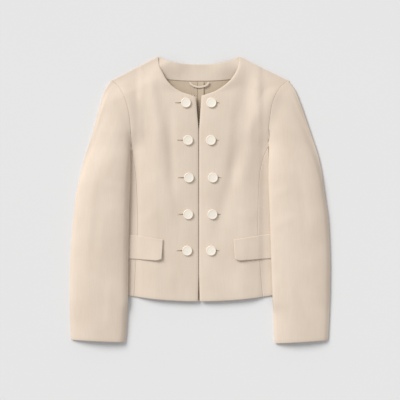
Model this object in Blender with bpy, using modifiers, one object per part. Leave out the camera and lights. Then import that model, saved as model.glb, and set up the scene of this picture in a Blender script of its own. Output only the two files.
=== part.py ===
"""Collarless jacket laid flat with its front up and its sleeves straight down its sides.

The neck points to +Y and the cloth rests on z = 0. The origin is on the floor under the middle
of the garment. Right and left are the wearer's, so the right half is at -X. Sizes are in
millimetres and become metres where a mesh gets its points.
"""
import math
from collections import namedtuple

import bmesh
import bpy
from mathutils import Euler, Vector

MM = 0.001
COLLECTION_NAME = "collarless_jacket"

# Cloth and the space that two pieces keep at a seam
WALL = 1.8
FACING_WALL = 1.0
SEAM_GAP = 0.3
LAYER = WALL + SEAM_GAP

# Driving sizes of the body
CENTRE_FRONT = -2.5
CENTRE_BACK = -4.9
NECK_POINT = (90.2, 317.2)
SHOULDER_TIP = (195.4, 265.0)
ARMHOLE_NOTCH = {"right": (152.8, 109.0), "left": (150.6, 118.0)}
UNDERARM = (220.0, 75.0)
BACK_NECK_DEPTH = 300.5
FRONT_NECK_DEPTH = 231.0
HEM_CENTRE = -224.2
HEM_RISE = 12.0
HEM_RISE_AT = 157.0
BACK_HEM_SHORTER = 2.0

Point = namedtuple("Point", "across up")
Seam = namedtuple("Seam", "up right left")
Level = namedtuple("Level", "up height")
Fold = namedtuple("Fold", "x_start y_start x_end y_end height width")

# Neckline of each front, from the centre front out to the shoulder
FRONT_NECKLINE = {
    "right": (
        Point(14.8, 231.9),
        Point(38.8, 239.8),
        Point(54.0, 248.4),
        Point(65.0, 258.2),
        Point(73.8, 270.0),
        Point(80.4, 283.0),
        Point(87.4, 298.0),
    ),
    "left": (
        Point(12.0, 232.9),
        Point(30.9, 239.2),
        Point(44.0, 245.6),
        Point(57.0, 254.2),
        Point(67.9, 264.2),
        Point(75.8, 273.6),
        Point(83.0, 286.4),
        Point(88.4, 301.0),
    ),
}
BACK_NECKLINE = (
    Point(26.0, 301.3),
    Point(48.0, 303.6),
    Point(73.0, 309.4),
)
FRONT_ARMHOLE = {
    "right": (
        Point(152.6, 126.0),
        Point(153.6, 159.0),
        Point(157.4, 192.5),
        Point(165.6, 223.6),
        Point(179.4, 249.8),
    ),
    "left": (
        Point(150.9, 133.0),
        Point(152.4, 163.8),
        Point(157.6, 203.0),
        Point(164.4, 226.0),
        Point(178.4, 250.6),
    ),
}
LOWER_ARMHOLE = {
    "right": (Point(160.0, 97.0), Point(176.0, 84.0), Point(198.0, 77.0)),
    "left": (Point(158.0, 104.0), Point(174.0, 88.5), Point(197.0, 78.5)),
}
BACK_ARMHOLE = (
    Point(205.0, 92.0),
    Point(190.0, 122.0),
    Point(184.0, 165.0),
    Point(187.0, 215.0),
)
# How far each front's edge stands from the centre front line
FRONT_EDGE = (
    Seam(-225.0, 1.7, 1.7),
    Seam(-195.0, 0.9, 0.9),
    Seam(-159.0, 0.2, 0.2),
    Seam(147.0, 0.2, 0.2),
    Seam(190.0, 3.2, 2.6),
    Seam(231.0, 6.4, 5.3),
)
# Seam between front and side panel, from hem to armhole
PRINCESS_SEAM = {
    "right": (
        Point(146.5, -216.0),
        Point(142.0, -135.0),
        Point(138.0, -54.0),
        Point(139.5, 5.0),
        Point(143.5, 64.0),
        Point(147.5, 88.0),
        Point(152.8, 109.0),
    ),
    "left": (
        Point(139.0, -216.0),
        Point(133.0, -135.0),
        Point(128.0, -54.0),
        Point(129.2, 2.0),
        Point(132.8, 58.0),
        Point(139.4, 90.0),
        Point(150.6, 118.0),
    ),
}
# How high the front layer's crown stands over the layer under it
CROWN = (
    Level(-225.0, 6.0),
    Level(-130.0, 6.5),
    Level(-40.0, 7.5),
    Level(60.0, 9.5),
    Level(150.0, 11.5),
    Level(210.0, 10.0),
    Level(262.0, 6.5),
    Level(320.0, 3.0),
)
# Soft folds of the fronts: ridges are positive, troughs negative
FRONT_FOLDS = (
    Fold(-114.0, 300.0, -82.0, 100.0, 3.2, 14.0),
    Fold(-94.0, 180.0, -60.0, -80.0, 2.0, 18.0),
    Fold(-141.0, 290.0, -138.0, 215.0, -1.5, 8.0),
    Fold(107.0, 305.0, 90.0, 50.0, -3.4, 15.0),
    Fold(97.0, 150.0, 28.0, -110.0, -2.4, 17.0),
    Fold(125.0, 290.0, 129.0, 150.0, 1.6, 10.0),
)
SIDE_LANDING = 150.0
SIDE_SLOPE = 58.0
ARMHOLE_LIFT = 24.0
ARMHOLE_LIFT_RUN = 60.0
ARMHOLE_SLANT = 0.12
ARMHOLE_RAISE = {"right": 7.0, "left": 4.0}
ARMHOLE_RAISE_REACH = 34.0
ARMHOLE_RAISE_START = 108.0
ARMHOLE_RAISE_RUN = 50.0
SHOULDER_SLOPE = 46.0
EDGE_DIP = 1.6
EDGE_DIP_WIDTH = 15.0
FACING_REACH = 128.0
FACING_FADE = 14.0
FACING_DEPTH = (
    Point(0.0, 263.9),
    Point(30.0, 264.3),
    Point(55.0, 265.9),
    Point(72.0, 268.2),
    Point(100.0, 279.0),
    Point(122.0, 295.0),
)

# Sleeves
SLEEVE_OUTER = {
    "right": (
        Point(204.5, 253.5),
        Point(212.0, 240.0),
        Point(223.0, 205.0),
        Point(232.4, 170.0),
        Point(242.4, 134.0),
        Point(252.8, 103.0),
        Point(261.8, 70.0),
    ),
    "left": (
        Point(204.5, 253.5),
        Point(213.0, 240.0),
        Point(226.5, 205.0),
        Point(238.5, 170.0),
        Point(250.6, 134.0),
        Point(260.8, 103.0),
        Point(268.6, 70.0),
    ),
}
SLEEVE_TURN = 40.0
SLEEVE_INNER_EDGE = (
    Seam(40.0, 154.2, 151.4),
    Seam(5.5, 155.6, 152.8),
    Seam(-48.0, 157.0, 154.6),
    Seam(-110.0, 158.2, 156.4),
    Seam(-168.0, 158.8, 158.6),
    Seam(-199.0, 159.2, 159.8),
    Seam(-243.0, 160.4, 162.0),
    Seam(-287.0, 162.8, 163.4),
    Seam(-318.0, 166.0, 166.2),
)
SLEEVE_OUTER_EDGE = (
    Seam(40.0, 269.2, 273.4),
    Seam(5.5, 275.2, 278.2),
    Seam(-48.0, 281.2, 285.2),
    Seam(-110.0, 286.6, 288.0),
    Seam(-160.0, 288.6, 288.8),
    Seam(-199.0, 289.0, 288.4),
    Seam(-243.0, 288.8, 286.8),
    Seam(-287.0, 287.2, 284.8),
    Seam(-318.0, 285.4, 283.0),
)
SLEEVE_HEIGHTS = (
    Level(60.0, 30.0),
    Level(-50.0, 29.0),
    Level(-120.0, 27.5),
    Level(-200.0, 25.0),
    Level(-260.0, 21.5),
    Level(-320.0, 18.0),
)
# Height of a sleeve over its two folds, from the inner fold to the outer one
SLEEVE_ARCH = (
    Level(0.0, 0.0), Level(0.04, 0.42), Level(0.1, 0.72), Level(0.2, 0.93), Level(0.32, 1.0),
    Level(0.48, 0.96), Level(0.64, 0.83), Level(0.8, 0.6), Level(0.92, 0.33), Level(1.0, 0.0),
)
CUFF_OUTER = {"right": -309.6, "left": -310.6}
CUFF_INNER = {"right": -314.8, "left": -317.8}
FOLD_HEIGHT = 4.0
FOLD_INSET = 0.024
REST_ON_PANEL = 4.6
REST_ON_FLAP = 6.5
REST_EDGE = 7.0
REST_FALL = 22.0
REST_HEM_CLEAR = 10.0
FLAP_ZONE_TOP = 60.0
FLAP_ZONE_FADE = 70.0
UNDER_SEAM_CLEAR = 2.2

# Pocket flaps: the inner end of the right and the left one, and the slopes of their long edges
FLAP_WALL = 1.6
FLAP_INNER = {"right": 81.5, "left": 74.0}
FLAP_LENGTH = 124.0
FLAP_TOP = -87.0
FLAP_TOP_SLOPE = 0.15
FLAP_BOTTOM = -134.6
FLAP_BOTTOM_SLOPE = 0.062
FLAP_CORNER = 3.5
FLAP_CORNER_RUN = 20.0
FLAP_END_SLANT = 3.0
FLAP_LIFT = 1.6
FLAP_CLEAR = 0.6

# Buttons: two rows of five
BUTTON_RADIUS = 11.0
BUTTON_THICKNESS = 3.2
BUTTON_STEPS = 18
BUTTON_CLEAR = 0.45
Button = namedtuple("Button", "up right left")
BUTTONS = (
    Button(214.5, -31.0, 25.3),
    Button(131.9, -26.4, 24.2),
    Button(49.3, -24.6, 28.6),
    Button(-31.7, -26.2, 27.3),
    Button(-111.9, -28.2, 24.6),
)

# Inside of the back neck
ALLOWANCE_WIDTH = 13.0
ALLOWANCE_WALL = 1.0
ALLOWANCE_TOP = 262.5
LOOP_HALF_SPAN = 21.3
LOOP_CENTRE = -1.3
LOOP_TOP = 262.4
LOOP_DROP = 11.5
LOOP_RADIUS = 1.4

# How finely the pieces are divided
HEM_TO_NOTCH_ROWS = 9
NOTCH_TO_NECK_ROWS = 8
NECK_ROWS = 6
ARMHOLE_ROWS = NOTCH_TO_NECK_ROWS + NECK_ROWS
FRONT_COLUMNS = 12
SIDE_COLUMNS = 5
BACK_ARMHOLE_ROWS = 6
LOWER_ARMHOLE_ROWS = ARMHOLE_ROWS - BACK_ARMHOLE_ROWS
BACK_NECK_COLUMNS = 5
BACK_SHOULDER_COLUMNS = 5
SLEEVE_CAP_ROWS = 7
SLEEVE_ROWS = 9
FLAP_COLUMNS = 12
FLAP_ROWS = 4
FACING_COLUMNS = 18
CURVE_STEPS = 12

SIDES = {"right": -1, "left": 1}

CLOTH_COLOUR = (0.79, 0.66, 0.55, 1.0)
LINING_SIDE_COLOUR = (0.66, 0.53, 0.42, 1.0)
BUTTON_COLOUR = (0.83, 0.79, 0.70, 1.0)


def clear_scene():
    """Remove every object, so that a second run starts afresh."""
    for old in list(bpy.data.objects):
        bpy.data.objects.remove(old, do_unlink=True)


def smoothstep(value):
    value = min(1.0, max(0.0, value))
    return value * value * (3.0 - 2.0 * value)


def mix(start, end, part):
    return start + (end - start) * part


def mix_points(start, end, part):
    return (mix(start[0], end[0], part), mix(start[1], end[1], part))


def column_at(rows, column, up):
    """Read a column of a table at a height, on a smooth curve through its rows."""
    rows = sorted(rows, key=lambda row: row.up)
    ups = [row.up for row in rows]
    values = [getattr(row, column) for row in rows]
    if up <= ups[0]:
        return values[0]
    if up >= ups[-1]:
        return values[-1]
    steps = [
        (values[i + 1] - values[i]) / (ups[i + 1] - ups[i]) for i in range(len(rows) - 1)
    ]
    slopes = [steps[0]]
    for before, after in zip(steps, steps[1:]):
        same_way = before * after > 0.0
        slopes.append(2.0 * before * after / (before + after) if same_way else 0.0)
    slopes.append(steps[-1])
    index = max(i for i, level in enumerate(ups) if level <= up)
    span = ups[index + 1] - ups[index]
    part = (up - ups[index]) / span
    start_weight = (1.0 + 2.0 * part) * (1.0 - part) ** 2
    end_weight = part * part * (3.0 - 2.0 * part)
    start_pull = part * (1.0 - part) ** 2 * span * slopes[index]
    end_pull = part * part * (part - 1.0) * span * slopes[index + 1]
    return start_weight * values[index] + end_weight * values[index + 1] + start_pull + end_pull


def smooth_line(points):
    """Return a dense smooth line through points of the plan."""
    points = [tuple(point) for point in points]
    line = [points[0]]
    for index in range(len(points) - 1):
        before = points[max(0, index - 1)]
        start = points[index]
        end = points[index + 1]
        after = points[min(len(points) - 1, index + 2)]
        for step in range(1, CURVE_STEPS + 1):
            part = step / CURVE_STEPS
            place = []
            for axis in (0, 1):
                pull_start = (end[axis] - before[axis]) / 2.0
                pull_end = (after[axis] - start[axis]) / 2.0
                place.append(
                    (2.0 * part**3 - 3.0 * part**2 + 1.0) * start[axis]
                    + (part**3 - 2.0 * part**2 + part) * pull_start
                    + (3.0 * part**2 - 2.0 * part**3) * end[axis]
                    + (part**3 - part**2) * pull_end
                )
            line.append(tuple(place))
    return line


def spaced(points, count):
    """Divide a smooth line through points into equal steps and return the count + 1 places."""
    line = smooth_line(points)
    lengths = [0.0]
    for start, end in zip(line, line[1:]):
        lengths.append(lengths[-1] + math.dist(start, end))
    places = []
    index = 0
    for step in range(count + 1):
        wanted = lengths[-1] * step / count
        while index < len(line) - 2 and lengths[index + 1] < wanted:
            index += 1
        span = lengths[index + 1] - lengths[index]
        places.append(mix_points(line[index], line[index + 1], (wanted - lengths[index]) / span))
    return places


def patch(bottom, top, left, right):
    """Fill four lines of places with rows of places, each line met exactly."""
    columns = len(bottom) - 1
    rows = len(left) - 1
    places = []
    for j in range(rows + 1):
        v = j / rows
        row = []
        for i in range(columns + 1):
            u = i / columns
            place = []
            for axis in (0, 1):
                along = mix(left[j][axis], right[j][axis], u) + mix(bottom[i][axis], top[i][axis], v)
                corners = mix(
                    mix(bottom[0][axis], bottom[-1][axis], u),
                    mix(top[0][axis], top[-1][axis], u),
                    v,
                )
                place.append(along - corners)
            row.append(tuple(place))
        places.append(row)
    return places


def hem_up(x):
    return HEM_CENTRE + HEM_RISE * (x / HEM_RISE_AT) ** 2


def below_shoulder(x, y):
    """Distance of a place from the shoulder seam, positive on the body."""
    run = NECK_POINT[0] - SHOULDER_TIP[0]
    drop = NECK_POINT[1] - SHOULDER_TIP[1]
    length = math.hypot(run, drop)
    return ((NECK_POINT[0] - abs(x)) * drop + (NECK_POINT[1] - y) * -run) / length


def fold_height(x, y):
    """Height that the soft folds of the fronts add at a place."""
    total = 0.0
    for fold in FRONT_FOLDS:
        run = fold.x_end - fold.x_start
        rise = fold.y_end - fold.y_start
        length = math.hypot(run, rise)
        part = ((x - fold.x_start) * run + (y - fold.y_start) * rise) / length**2
        off = ((x - fold.x_start) * rise - (y - fold.y_start) * run) / length
        ends = smoothstep(part / 0.3) * smoothstep((1.0 - part) / 0.3)
        total += fold.height * ends * math.exp(-((off / fold.width) ** 2))
    return total


def front_underside(x, y):
    """Height of the underside of the front layer above the floor."""
    across = abs(x)
    above = max(0.0, y - ARMHOLE_NOTCH["right"][1])
    landing = SIDE_LANDING + smoothstep(above / ARMHOLE_LIFT_RUN) * (ARMHOLE_LIFT + above * ARMHOLE_SLANT)
    falls = smoothstep((landing - across) / SIDE_SLOPE)
    falls *= smoothstep(below_shoulder(x, y) / SHOULDER_SLOPE)
    over_facing = FACING_WALL + 2.0 * SEAM_GAP
    base = LAYER + over_facing * smoothstep((FACING_REACH + FACING_FADE - across) / FACING_FADE)
    dip = EDGE_DIP * math.exp(-(((x - CENTRE_FRONT) / EDGE_DIP_WIDTH) ** 2))
    crown = column_at(CROWN, "height", y) - dip + fold_height(x, y)
    return base + crown * falls + armhole_raise(x, y)


def armhole_raise(x, y):
    """Height that the fullness of the sleeve gives the front beside the armhole seam."""
    side_name = "left" if x > 0.0 else "right"
    seam_across = column_at(FRONT_ARMHOLE[side_name], "across", y)
    near = smoothstep((abs(x) - seam_across) / ARMHOLE_RAISE_REACH + 1.0)
    near *= smoothstep((y - ARMHOLE_RAISE_START) / ARMHOLE_RAISE_RUN)
    return ARMHOLE_RAISE[side_name] * near * smoothstep(below_shoulder(x, y) / SHOULDER_SLOPE)


def front_top(x, y):
    return front_underside(x, y) + WALL


def rest_height(side_name, x, y):
    """Height of what a sleeve's underside lies on: the body's side, a flap or the floor."""
    across = abs(x)
    level = mix(REST_ON_PANEL, REST_ON_FLAP, smoothstep((FLAP_ZONE_TOP - y) / FLAP_ZONE_FADE))
    past_side = across - UNDERARM[0]
    notch = ARMHOLE_NOTCH[side_name]
    past_armhole = y - mix(notch[1], UNDERARM[1], (across - notch[0]) / (UNDERARM[0] - notch[0]))
    past_hem = hem_up(across) - REST_HEM_CLEAR - y
    past = max(past_side, past_armhole, past_hem)
    return level * (1.0 - smoothstep((past - REST_EDGE) / REST_FALL))


def princess_line(side_name):
    """Places of the seam between front and side panel, hem first."""
    places = []
    seam = PRINCESS_SEAM[side_name]
    bottom = hem_up(seam[0].across)
    for step in range(HEM_TO_NOTCH_ROWS + 1):
        up = mix(bottom, ARMHOLE_NOTCH[side_name][1], step / HEM_TO_NOTCH_ROWS)
        places.append((column_at(seam, "across", up), up))
    return places


def front_armhole_line(side_name):
    return spaced((ARMHOLE_NOTCH[side_name], *FRONT_ARMHOLE[side_name], SHOULDER_TIP), ARMHOLE_ROWS)


def lower_armhole_line(side_name, count):
    return spaced((ARMHOLE_NOTCH[side_name], *LOWER_ARMHOLE[side_name], UNDERARM), count)


def back_armhole_line():
    return spaced((UNDERARM, *BACK_ARMHOLE, SHOULDER_TIP), BACK_ARMHOLE_ROWS)


def body_side_line():
    """Places of the body's side fold, hem first."""
    start = (UNDERARM[0], hem_up(UNDERARM[0]))
    return [mix_points(start, UNDERARM, step / HEM_TO_NOTCH_ROWS) for step in range(HEM_TO_NOTCH_ROWS + 1)]


def signed(places, side):
    return [(across * side, up) for across, up in places]


def new_object(name, bm, colour, roughness=0.85):
    """Turn a finished bmesh into an object with its own material."""
    mesh = bpy.data.meshes.new(name)
    bm.to_mesh(mesh)
    bm.free()
    obj = bpy.data.objects.new(name, mesh)
    dress(obj, colour, roughness)
    return obj


def dress(obj, colour, roughness):
    """Link an object to the garment's collection and give it a plain material."""
    material = bpy.data.materials.new(obj.name + "_finish")
    material.use_nodes = True
    shader = material.node_tree.nodes["Principled BSDF"]
    shader.inputs["Base Color"].default_value = colour
    shader.inputs["Roughness"].default_value = roughness
    shader.inputs["Metallic"].default_value = 0.0
    obj.data.materials.append(material)
    bpy.data.collections[COLLECTION_NAME].objects.link(obj)


def grid_mesh(columns, rows, place):
    """Make a grid and move each of its points to place(column, row)."""
    bm = bmesh.new()
    bmesh.ops.create_grid(bm, x_segments=columns, y_segments=rows, size=1.0)
    for vert in bm.verts:
        i = round((vert.co.x + 1.0) / 2.0 * columns)
        j = round((vert.co.y + 1.0) / 2.0 * rows)
        vert.co = Vector(place(i, j)) * MM
    return bm


def raise_wall(bm, wall):
    """Give a laid grid its thickness, straight up."""
    region = bmesh.ops.extrude_face_region(bm, geom=bm.faces[:])
    lifted = [item for item in region["geom"] if isinstance(item, bmesh.types.BMVert)]
    bmesh.ops.translate(bm, verts=lifted, vec=(0.0, 0.0, wall * MM))
    bmesh.ops.recalc_face_normals(bm, faces=bm.faces[:])


def laid_panel(name, places, underside, wall=WALL, colour=CLOTH_COLOUR):
    """Make a panel from rows of places on the plan and the height of its underside."""
    columns = len(places[0]) - 1
    rows = len(places) - 1

    def place(i, j):
        x, y = places[j][i]
        return (x, y, underside(x, y))

    bm = grid_mesh(columns, rows, place)
    raise_wall(bm, wall)
    return new_object(name, bm, colour)


def make_front(side_name):
    """Front panel: centre front and neckline on one side, princess seam and armhole on the other."""
    side = SIDES[side_name]
    notch_up = ARMHOLE_NOTCH[side_name][1]
    edge = []
    for step in range(HEM_TO_NOTCH_ROWS):
        edge.append(mix(hem_up(0.0), notch_up, step / HEM_TO_NOTCH_ROWS))
    for step in range(NOTCH_TO_NECK_ROWS):
        edge.append(mix(notch_up, FRONT_NECK_DEPTH, step / NOTCH_TO_NECK_ROWS))
    inner = [(CENTRE_FRONT + side * column_at(FRONT_EDGE, side_name, up), up) for up in edge]
    corner = Point(column_at(FRONT_EDGE, side_name, FRONT_NECK_DEPTH), FRONT_NECK_DEPTH)
    neckline = spaced((corner, *FRONT_NECKLINE[side_name], NECK_POINT), NECK_ROWS)
    inner += [(CENTRE_FRONT + side * across, up) for across, up in neckline]

    outer = signed(princess_line(side_name) + front_armhole_line(side_name)[1:], side)
    outer = [(x - side * SEAM_GAP / 2.0, y) for x, y in outer]
    columns = range(FRONT_COLUMNS + 1)
    hem = []
    for i in columns:
        x = mix(inner[0][0], outer[0][0], i / FRONT_COLUMNS)
        hem.append((x, hem_up(x - CENTRE_FRONT * (1.0 - i / FRONT_COLUMNS))))
    hem[0] = inner[0]
    hem[-1] = outer[0]
    shoulder = [mix_points(inner[-1], outer[-1], i / FRONT_COLUMNS) for i in columns]
    return laid_panel(f"front_{side_name}", patch(hem, shoulder, inner, outer), front_underside)


def make_side(side_name):
    """Side panel: from the princess seam round to the body's side fold, mostly under the sleeve."""
    side = SIDES[side_name]
    inner = [(x + side * SEAM_GAP / 2.0, y) for x, y in signed(princess_line(side_name), side)]
    outer = signed(body_side_line(), side)
    columns = range(SIDE_COLUMNS + 1)
    hem = []
    for i in columns:
        x = mix(inner[0][0], outer[0][0], i / SIDE_COLUMNS)
        hem.append((x, hem_up(x)))
    armhole = signed(lower_armhole_line(side_name, SIDE_COLUMNS), side)
    armhole[0] = inner[-1]
    return laid_panel(f"side_{side_name}", patch(hem, armhole, inner, outer), front_underside)


def make_back(side_name):
    """Half of the back, flat on the floor from the centre-back seam to the side fold."""
    side = SIDES[side_name]
    rows = HEM_TO_NOTCH_ROWS + BACK_ARMHOLE_ROWS
    centre_x = CENTRE_BACK + side * SEAM_GAP / 2.0
    start = hem_up(0.0) + BACK_HEM_SHORTER
    inner = [(centre_x, mix(start, BACK_NECK_DEPTH, step / rows)) for step in range(rows + 1)]
    outer = signed(body_side_line() + back_armhole_line()[1:], side)
    outer[0] = (outer[0][0], outer[0][1] + BACK_HEM_SHORTER)
    neck = spaced((Point(0.0, BACK_NECK_DEPTH), *BACK_NECKLINE, NECK_POINT), BACK_NECK_COLUMNS)
    top = [(centre_x + side * across, up) for across, up in neck]
    for step in range(1, BACK_SHOULDER_COLUMNS + 1):
        top.append(mix_points(top[BACK_NECK_COLUMNS], outer[-1], step / BACK_SHOULDER_COLUMNS))
    columns = BACK_NECK_COLUMNS + BACK_SHOULDER_COLUMNS
    hem = []
    for i in range(columns + 1):
        x = mix(inner[0][0], outer[0][0], i / columns)
        hem.append((x, hem_up(x) + BACK_HEM_SHORTER))
    hem[0] = inner[0]
    hem[-1] = outer[0]
    return laid_panel(f"back_{side_name}", patch(hem, top, inner, outer), lambda x, y: 0.0)


def make_facing():
    """Back neck facing, in one piece from shoulder to shoulder inside the neck."""
    neck = [Point(0.0, BACK_NECK_DEPTH), *BACK_NECKLINE, NECK_POINT]
    part = (FACING_REACH - NECK_POINT[0]) / (SHOULDER_TIP[0] - NECK_POINT[0])
    neck.append(Point(*mix_points(NECK_POINT, SHOULDER_TIP, part)))
    upper = [(-across, up) for across, up in reversed(neck)] + [tuple(point) for point in neck[1:]]
    depth = list(FACING_DEPTH)
    lower = [(-across, up) for across, up in reversed(depth)] + [tuple(point) for point in depth[1:]]
    upper = [(x + CENTRE_FRONT, y) for x, y in spaced(upper, FACING_COLUMNS)]
    lower = [(x + CENTRE_FRONT, y) for x, y in spaced(lower, FACING_COLUMNS)]
    middle = [mix_points(low, high, 0.5) for low, high in zip(lower, upper)]
    return laid_panel(
        "back_neck_facing",
        [lower, middle, upper],
        lambda x, y: LAYER,
        wall=FACING_WALL,
        colour=CLOTH_COLOUR,
    )


def make_allowance(side_name):
    """One half of the centre-back seam allowance, pressed open on the back's inner face."""
    side = SIDES[side_name]
    low = hem_up(0.0) + 2.0 * BACK_HEM_SHORTER
    length = ALLOWANCE_TOP - low
    bm = bmesh.new()
    bmesh.ops.create_cube(bm, size=1.0)
    bmesh.ops.scale(bm, verts=bm.verts[:], vec=Vector((ALLOWANCE_WIDTH, length, ALLOWANCE_WALL)) * MM)
    middle = (
        CENTRE_BACK + side * (ALLOWANCE_WIDTH + 2.0 * SEAM_GAP) / 2.0,
        low + length / 2.0,
        LAYER + ALLOWANCE_WALL / 2.0,
    )
    bmesh.ops.translate(bm, verts=bm.verts[:], vec=Vector(middle) * MM)
    return new_object(f"back_seam_allowance_{side_name}", bm, LINING_SIDE_COLOUR)


def make_hanger_loop():
    """Narrow sewn loop that hangs from the facing's lower edge."""
    curve = bpy.data.curves.new("hanger_loop", "CURVE")
    curve.dimensions = "3D"
    curve.bevel_depth = LOOP_RADIUS * MM
    curve.bevel_resolution = 1
    curve.use_fill_caps = True
    spline = curve.splines.new("POLY")
    count = 12
    spline.points.add(count)
    height = LAYER + ALLOWANCE_WALL + SEAM_GAP + LOOP_RADIUS
    for step in range(count + 1):
        part = 2.0 * step / count - 1.0
        place = (
            LOOP_CENTRE + LOOP_HALF_SPAN * part,
            LOOP_TOP - LOOP_RADIUS - LOOP_DROP * (1.0 - part**4),
            height,
        )
        spline.points[step].co = (*(Vector(place) * MM), 1.0)
    obj = bpy.data.objects.new("hanger_loop", curve)
    dress(obj, CLOTH_COLOUR, 0.85)
    return obj


def sleeve_rings(side_name):
    """Rings of outer points of a sleeve, armhole first, as if it were the left one."""
    turn = column_at(SLEEVE_OUTER_EDGE, side_name, SLEEVE_TURN)
    inner_turn = column_at(SLEEVE_INNER_EDGE, side_name, SLEEVE_TURN)
    notch = (ARMHOLE_NOTCH[side_name][0] + SEAM_GAP / 2.0, ARMHOLE_NOTCH[side_name][1])
    inner = [
        mix_points(notch, (inner_turn, SLEEVE_TURN), step / SLEEVE_CAP_ROWS)
        for step in range(SLEEVE_CAP_ROWS + 1)
    ]
    tip = (SHOULDER_TIP[0] + SEAM_GAP, SHOULDER_TIP[1])
    outer = spaced((tip, *SLEEVE_OUTER[side_name], (turn, SLEEVE_TURN)), SLEEVE_CAP_ROWS)
    front_seam = [(x + SEAM_GAP / 2.0, y) for x, y in front_armhole_line(side_name)]
    front_seam[-1] = tip
    under_seam = lower_armhole_line(side_name, LOWER_ARMHOLE_ROWS)
    under_seam += [(x + UNDER_SEAM_CLEAR, y) for x, y in back_armhole_line()[1:]]
    under_seam[0] = notch
    under_outer = [under_seam[-1], *outer[1:]]
    full_ring = [mix_points(inner[-1], outer[-1], ring_part(i)) for i in range(ARMHOLE_ROWS + 1)]
    upper = patch(front_seam, full_ring, inner, outer)
    under = patch(under_seam, full_ring, inner, under_outer)
    rings = []
    for j in range(SLEEVE_CAP_ROWS + 1):
        rings.append(sleeve_ring(side_name, j / SLEEVE_CAP_ROWS, upper[j], under[j]))
    for step in range(1, SLEEVE_ROWS + 1):
        part = step / SLEEVE_ROWS
        inner_up = mix(SLEEVE_TURN, CUFF_INNER[side_name], part)
        outer_up = mix(SLEEVE_TURN, CUFF_OUTER[side_name], part)
        start = (column_at(SLEEVE_INNER_EDGE, side_name, inner_up), inner_up)
        end = (column_at(SLEEVE_OUTER_EDGE, side_name, outer_up), outer_up)
        row = [mix_points(start, end, ring_part(i)) for i in range(ARMHOLE_ROWS + 1)]
        rings.append(sleeve_ring(side_name, 1.0, row, row))
    return rings


def ring_part(i):
    """How far across the sleeve a point of its rings stands, closer together near the folds."""
    return (1.0 - math.cos(math.pi * i / ARMHOLE_ROWS)) / 2.0


def sleeve_ring(side_name, grown, upper_row, under_row):
    """Heights of one ring: an arch over its upper row, and its under row on what it rests on."""
    count = len(upper_row) - 1
    crown = column_at(SLEEVE_HEIGHTS, "height", upper_row[count // 2][1])
    growth = math.sin(math.pi / 2.0 * grown) ** 0.9
    ring = []
    for i, (x, y) in enumerate(upper_row):
        base = mix(rest_height(side_name, *upper_row[0]), 0.0, i / count) + FOLD_HEIGHT
        arch = base + (crown - base) * column_at(SLEEVE_ARCH, "height", ring_part(i))
        at_ends = i in (0, count)
        seam = base if at_ends else front_top(x * SIDES[side_name], y) + SEAM_GAP
        ring.append((x, y, mix(seam, arch, growth)))
    inset = FOLD_INSET * smoothstep(grown * 2.0)
    start = under_row[0]
    end = under_row[-1]
    for i, (x, y) in reversed(list(enumerate(under_row))):
        shift = inset * (1.0 - 2.0 * i / count)
        x += (end[0] - start[0]) * shift
        y += (end[1] - start[1]) * shift
        ring.append((x, y, rest_height(side_name, x, y)))
    return ring


def make_sleeve(side_name):
    """Sleeve: a flattened tube from the armhole to the cuff, open at both ends."""
    side = SIDES[side_name]
    rings = sleeve_rings(side_name)
    around = len(rings[0])

    def place(i, j):
        x, y, z = rings[j][i % around]
        return (x * side, y, z)

    bm = grid_mesh(around, len(rings) - 1, place)
    bmesh.ops.remove_doubles(bm, verts=bm.verts[:], dist=0.00001)
    if side > 0:
        bmesh.ops.reverse_faces(bm, faces=bm.faces[:])
    obj = new_object(f"sleeve_{side_name}", bm, CLOTH_COLOUR)
    wall = obj.modifiers.new("wall", "SOLIDIFY")
    wall.thickness = WALL * MM
    wall.offset = -1.0
    wall.use_even_offset = False
    return obj


def flap_underside(x, y):
    """A flap lies on the panel at its seam and stands off it a little at its free edge."""
    free = smoothstep((FLAP_TOP - y) / (FLAP_TOP - FLAP_BOTTOM))
    clear_of_sleeve = smoothstep((SIDE_LANDING - 4.0 - abs(x)) / 30.0)
    return front_top(x, y) + FLAP_CLEAR + FLAP_LIFT * free * clear_of_sleeve


def make_flap(side_name):
    """Pocket flap, slanting up to the side seam, with its outer end under the sleeve."""
    side = SIDES[side_name]
    start = FLAP_INNER[side_name]
    places = []
    for j in range(FLAP_ROWS + 1):
        down = j / FLAP_ROWS
        row = []
        for i in range(FLAP_COLUMNS + 1):
            along = FLAP_LENGTH * i / FLAP_COLUMNS
            top = FLAP_TOP + FLAP_TOP_SLOPE * along
            bottom = FLAP_BOTTOM + FLAP_BOTTOM_SLOPE * along
            corner = FLAP_CORNER * max(0.0, 1.0 - along / FLAP_CORNER_RUN) ** 2
            x = start + along + FLAP_END_SLANT * down * (1.0 - along / FLAP_LENGTH)
            row.append((x * side, mix(bottom + corner, top, 1.0 - down)))
        places.append(row)
    places.reverse()
    return laid_panel(f"flap_{side_name}", places, flap_underside, wall=FLAP_WALL)


def button_mesh():
    """Half section of a button, to be turned: a shallow dish with a raised rim."""
    profile = (
        (0.0, BUTTON_THICKNESS),
        (BUTTON_RADIUS * 0.78, BUTTON_THICKNESS * 0.84),
        (BUTTON_RADIUS * 0.93, BUTTON_THICKNESS * 0.88),
        (BUTTON_RADIUS, BUTTON_THICKNESS * 0.5),
        (BUTTON_RADIUS * 0.86, 0.0),
        (0.0, 0.0),
    )
    bm = bmesh.new()
    verts = [bm.verts.new(Vector((radius, 0.0, height)) * MM) for radius, height in profile]
    for start, end in zip(verts, verts[1:]):
        bm.edges.new((start, end))
    mesh = bpy.data.meshes.new("button")
    bm.to_mesh(mesh)
    bm.free()
    return mesh


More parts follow.
